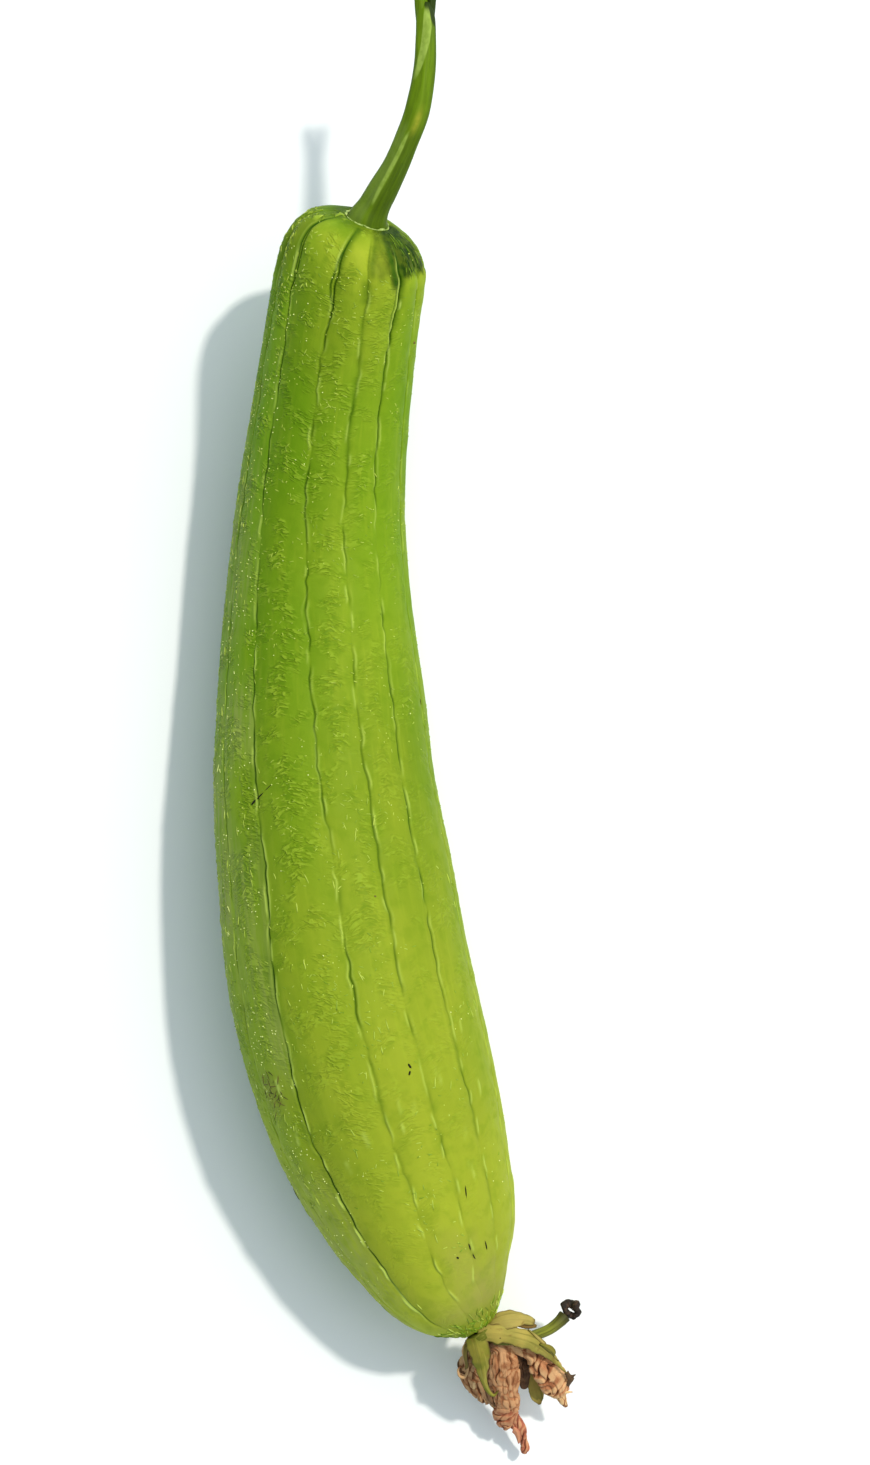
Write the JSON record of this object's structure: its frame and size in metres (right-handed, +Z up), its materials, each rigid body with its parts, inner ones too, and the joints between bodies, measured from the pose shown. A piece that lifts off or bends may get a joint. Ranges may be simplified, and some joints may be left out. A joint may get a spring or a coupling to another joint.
{
  "type": "sponge gourd",
  "caption": "Long green club-shaped gourd lying on its side, with fine lengthwise lines, a bent stem at the neck and a withered flower at the tip.",
  "frame": {"origin": "middle of the flat spot on the underside that the gourd rests on", "axes": "+Y from the blossom end towards the stem end, +Z up from the surface it lies on, +X to the right as seen from above"},
  "size_m": [0.1178, 0.4685, 0.0843],
  "materials": {
    "gourd_skin": "satin green skin with fine wrinkles, pale specks and dark lines",
    "stem": "ridged green stalk, slightly waxy",
    "sepal": "wilted olive yellow sepal, matte",
    "dry_petal": "dry pleated brown petal, matte",
    "style": "smooth green",
    "dry_stigma": "dried, nearly black, rough"
  },
  "bodies": {
    "root": {"fruit": "gourd_skin", "peduncle": "stem", "calyx": "sepal", "withered_corolla": "dry_petal", "style": "style", "stigma": "dry_stigma"}
  },
  "joints": []
}
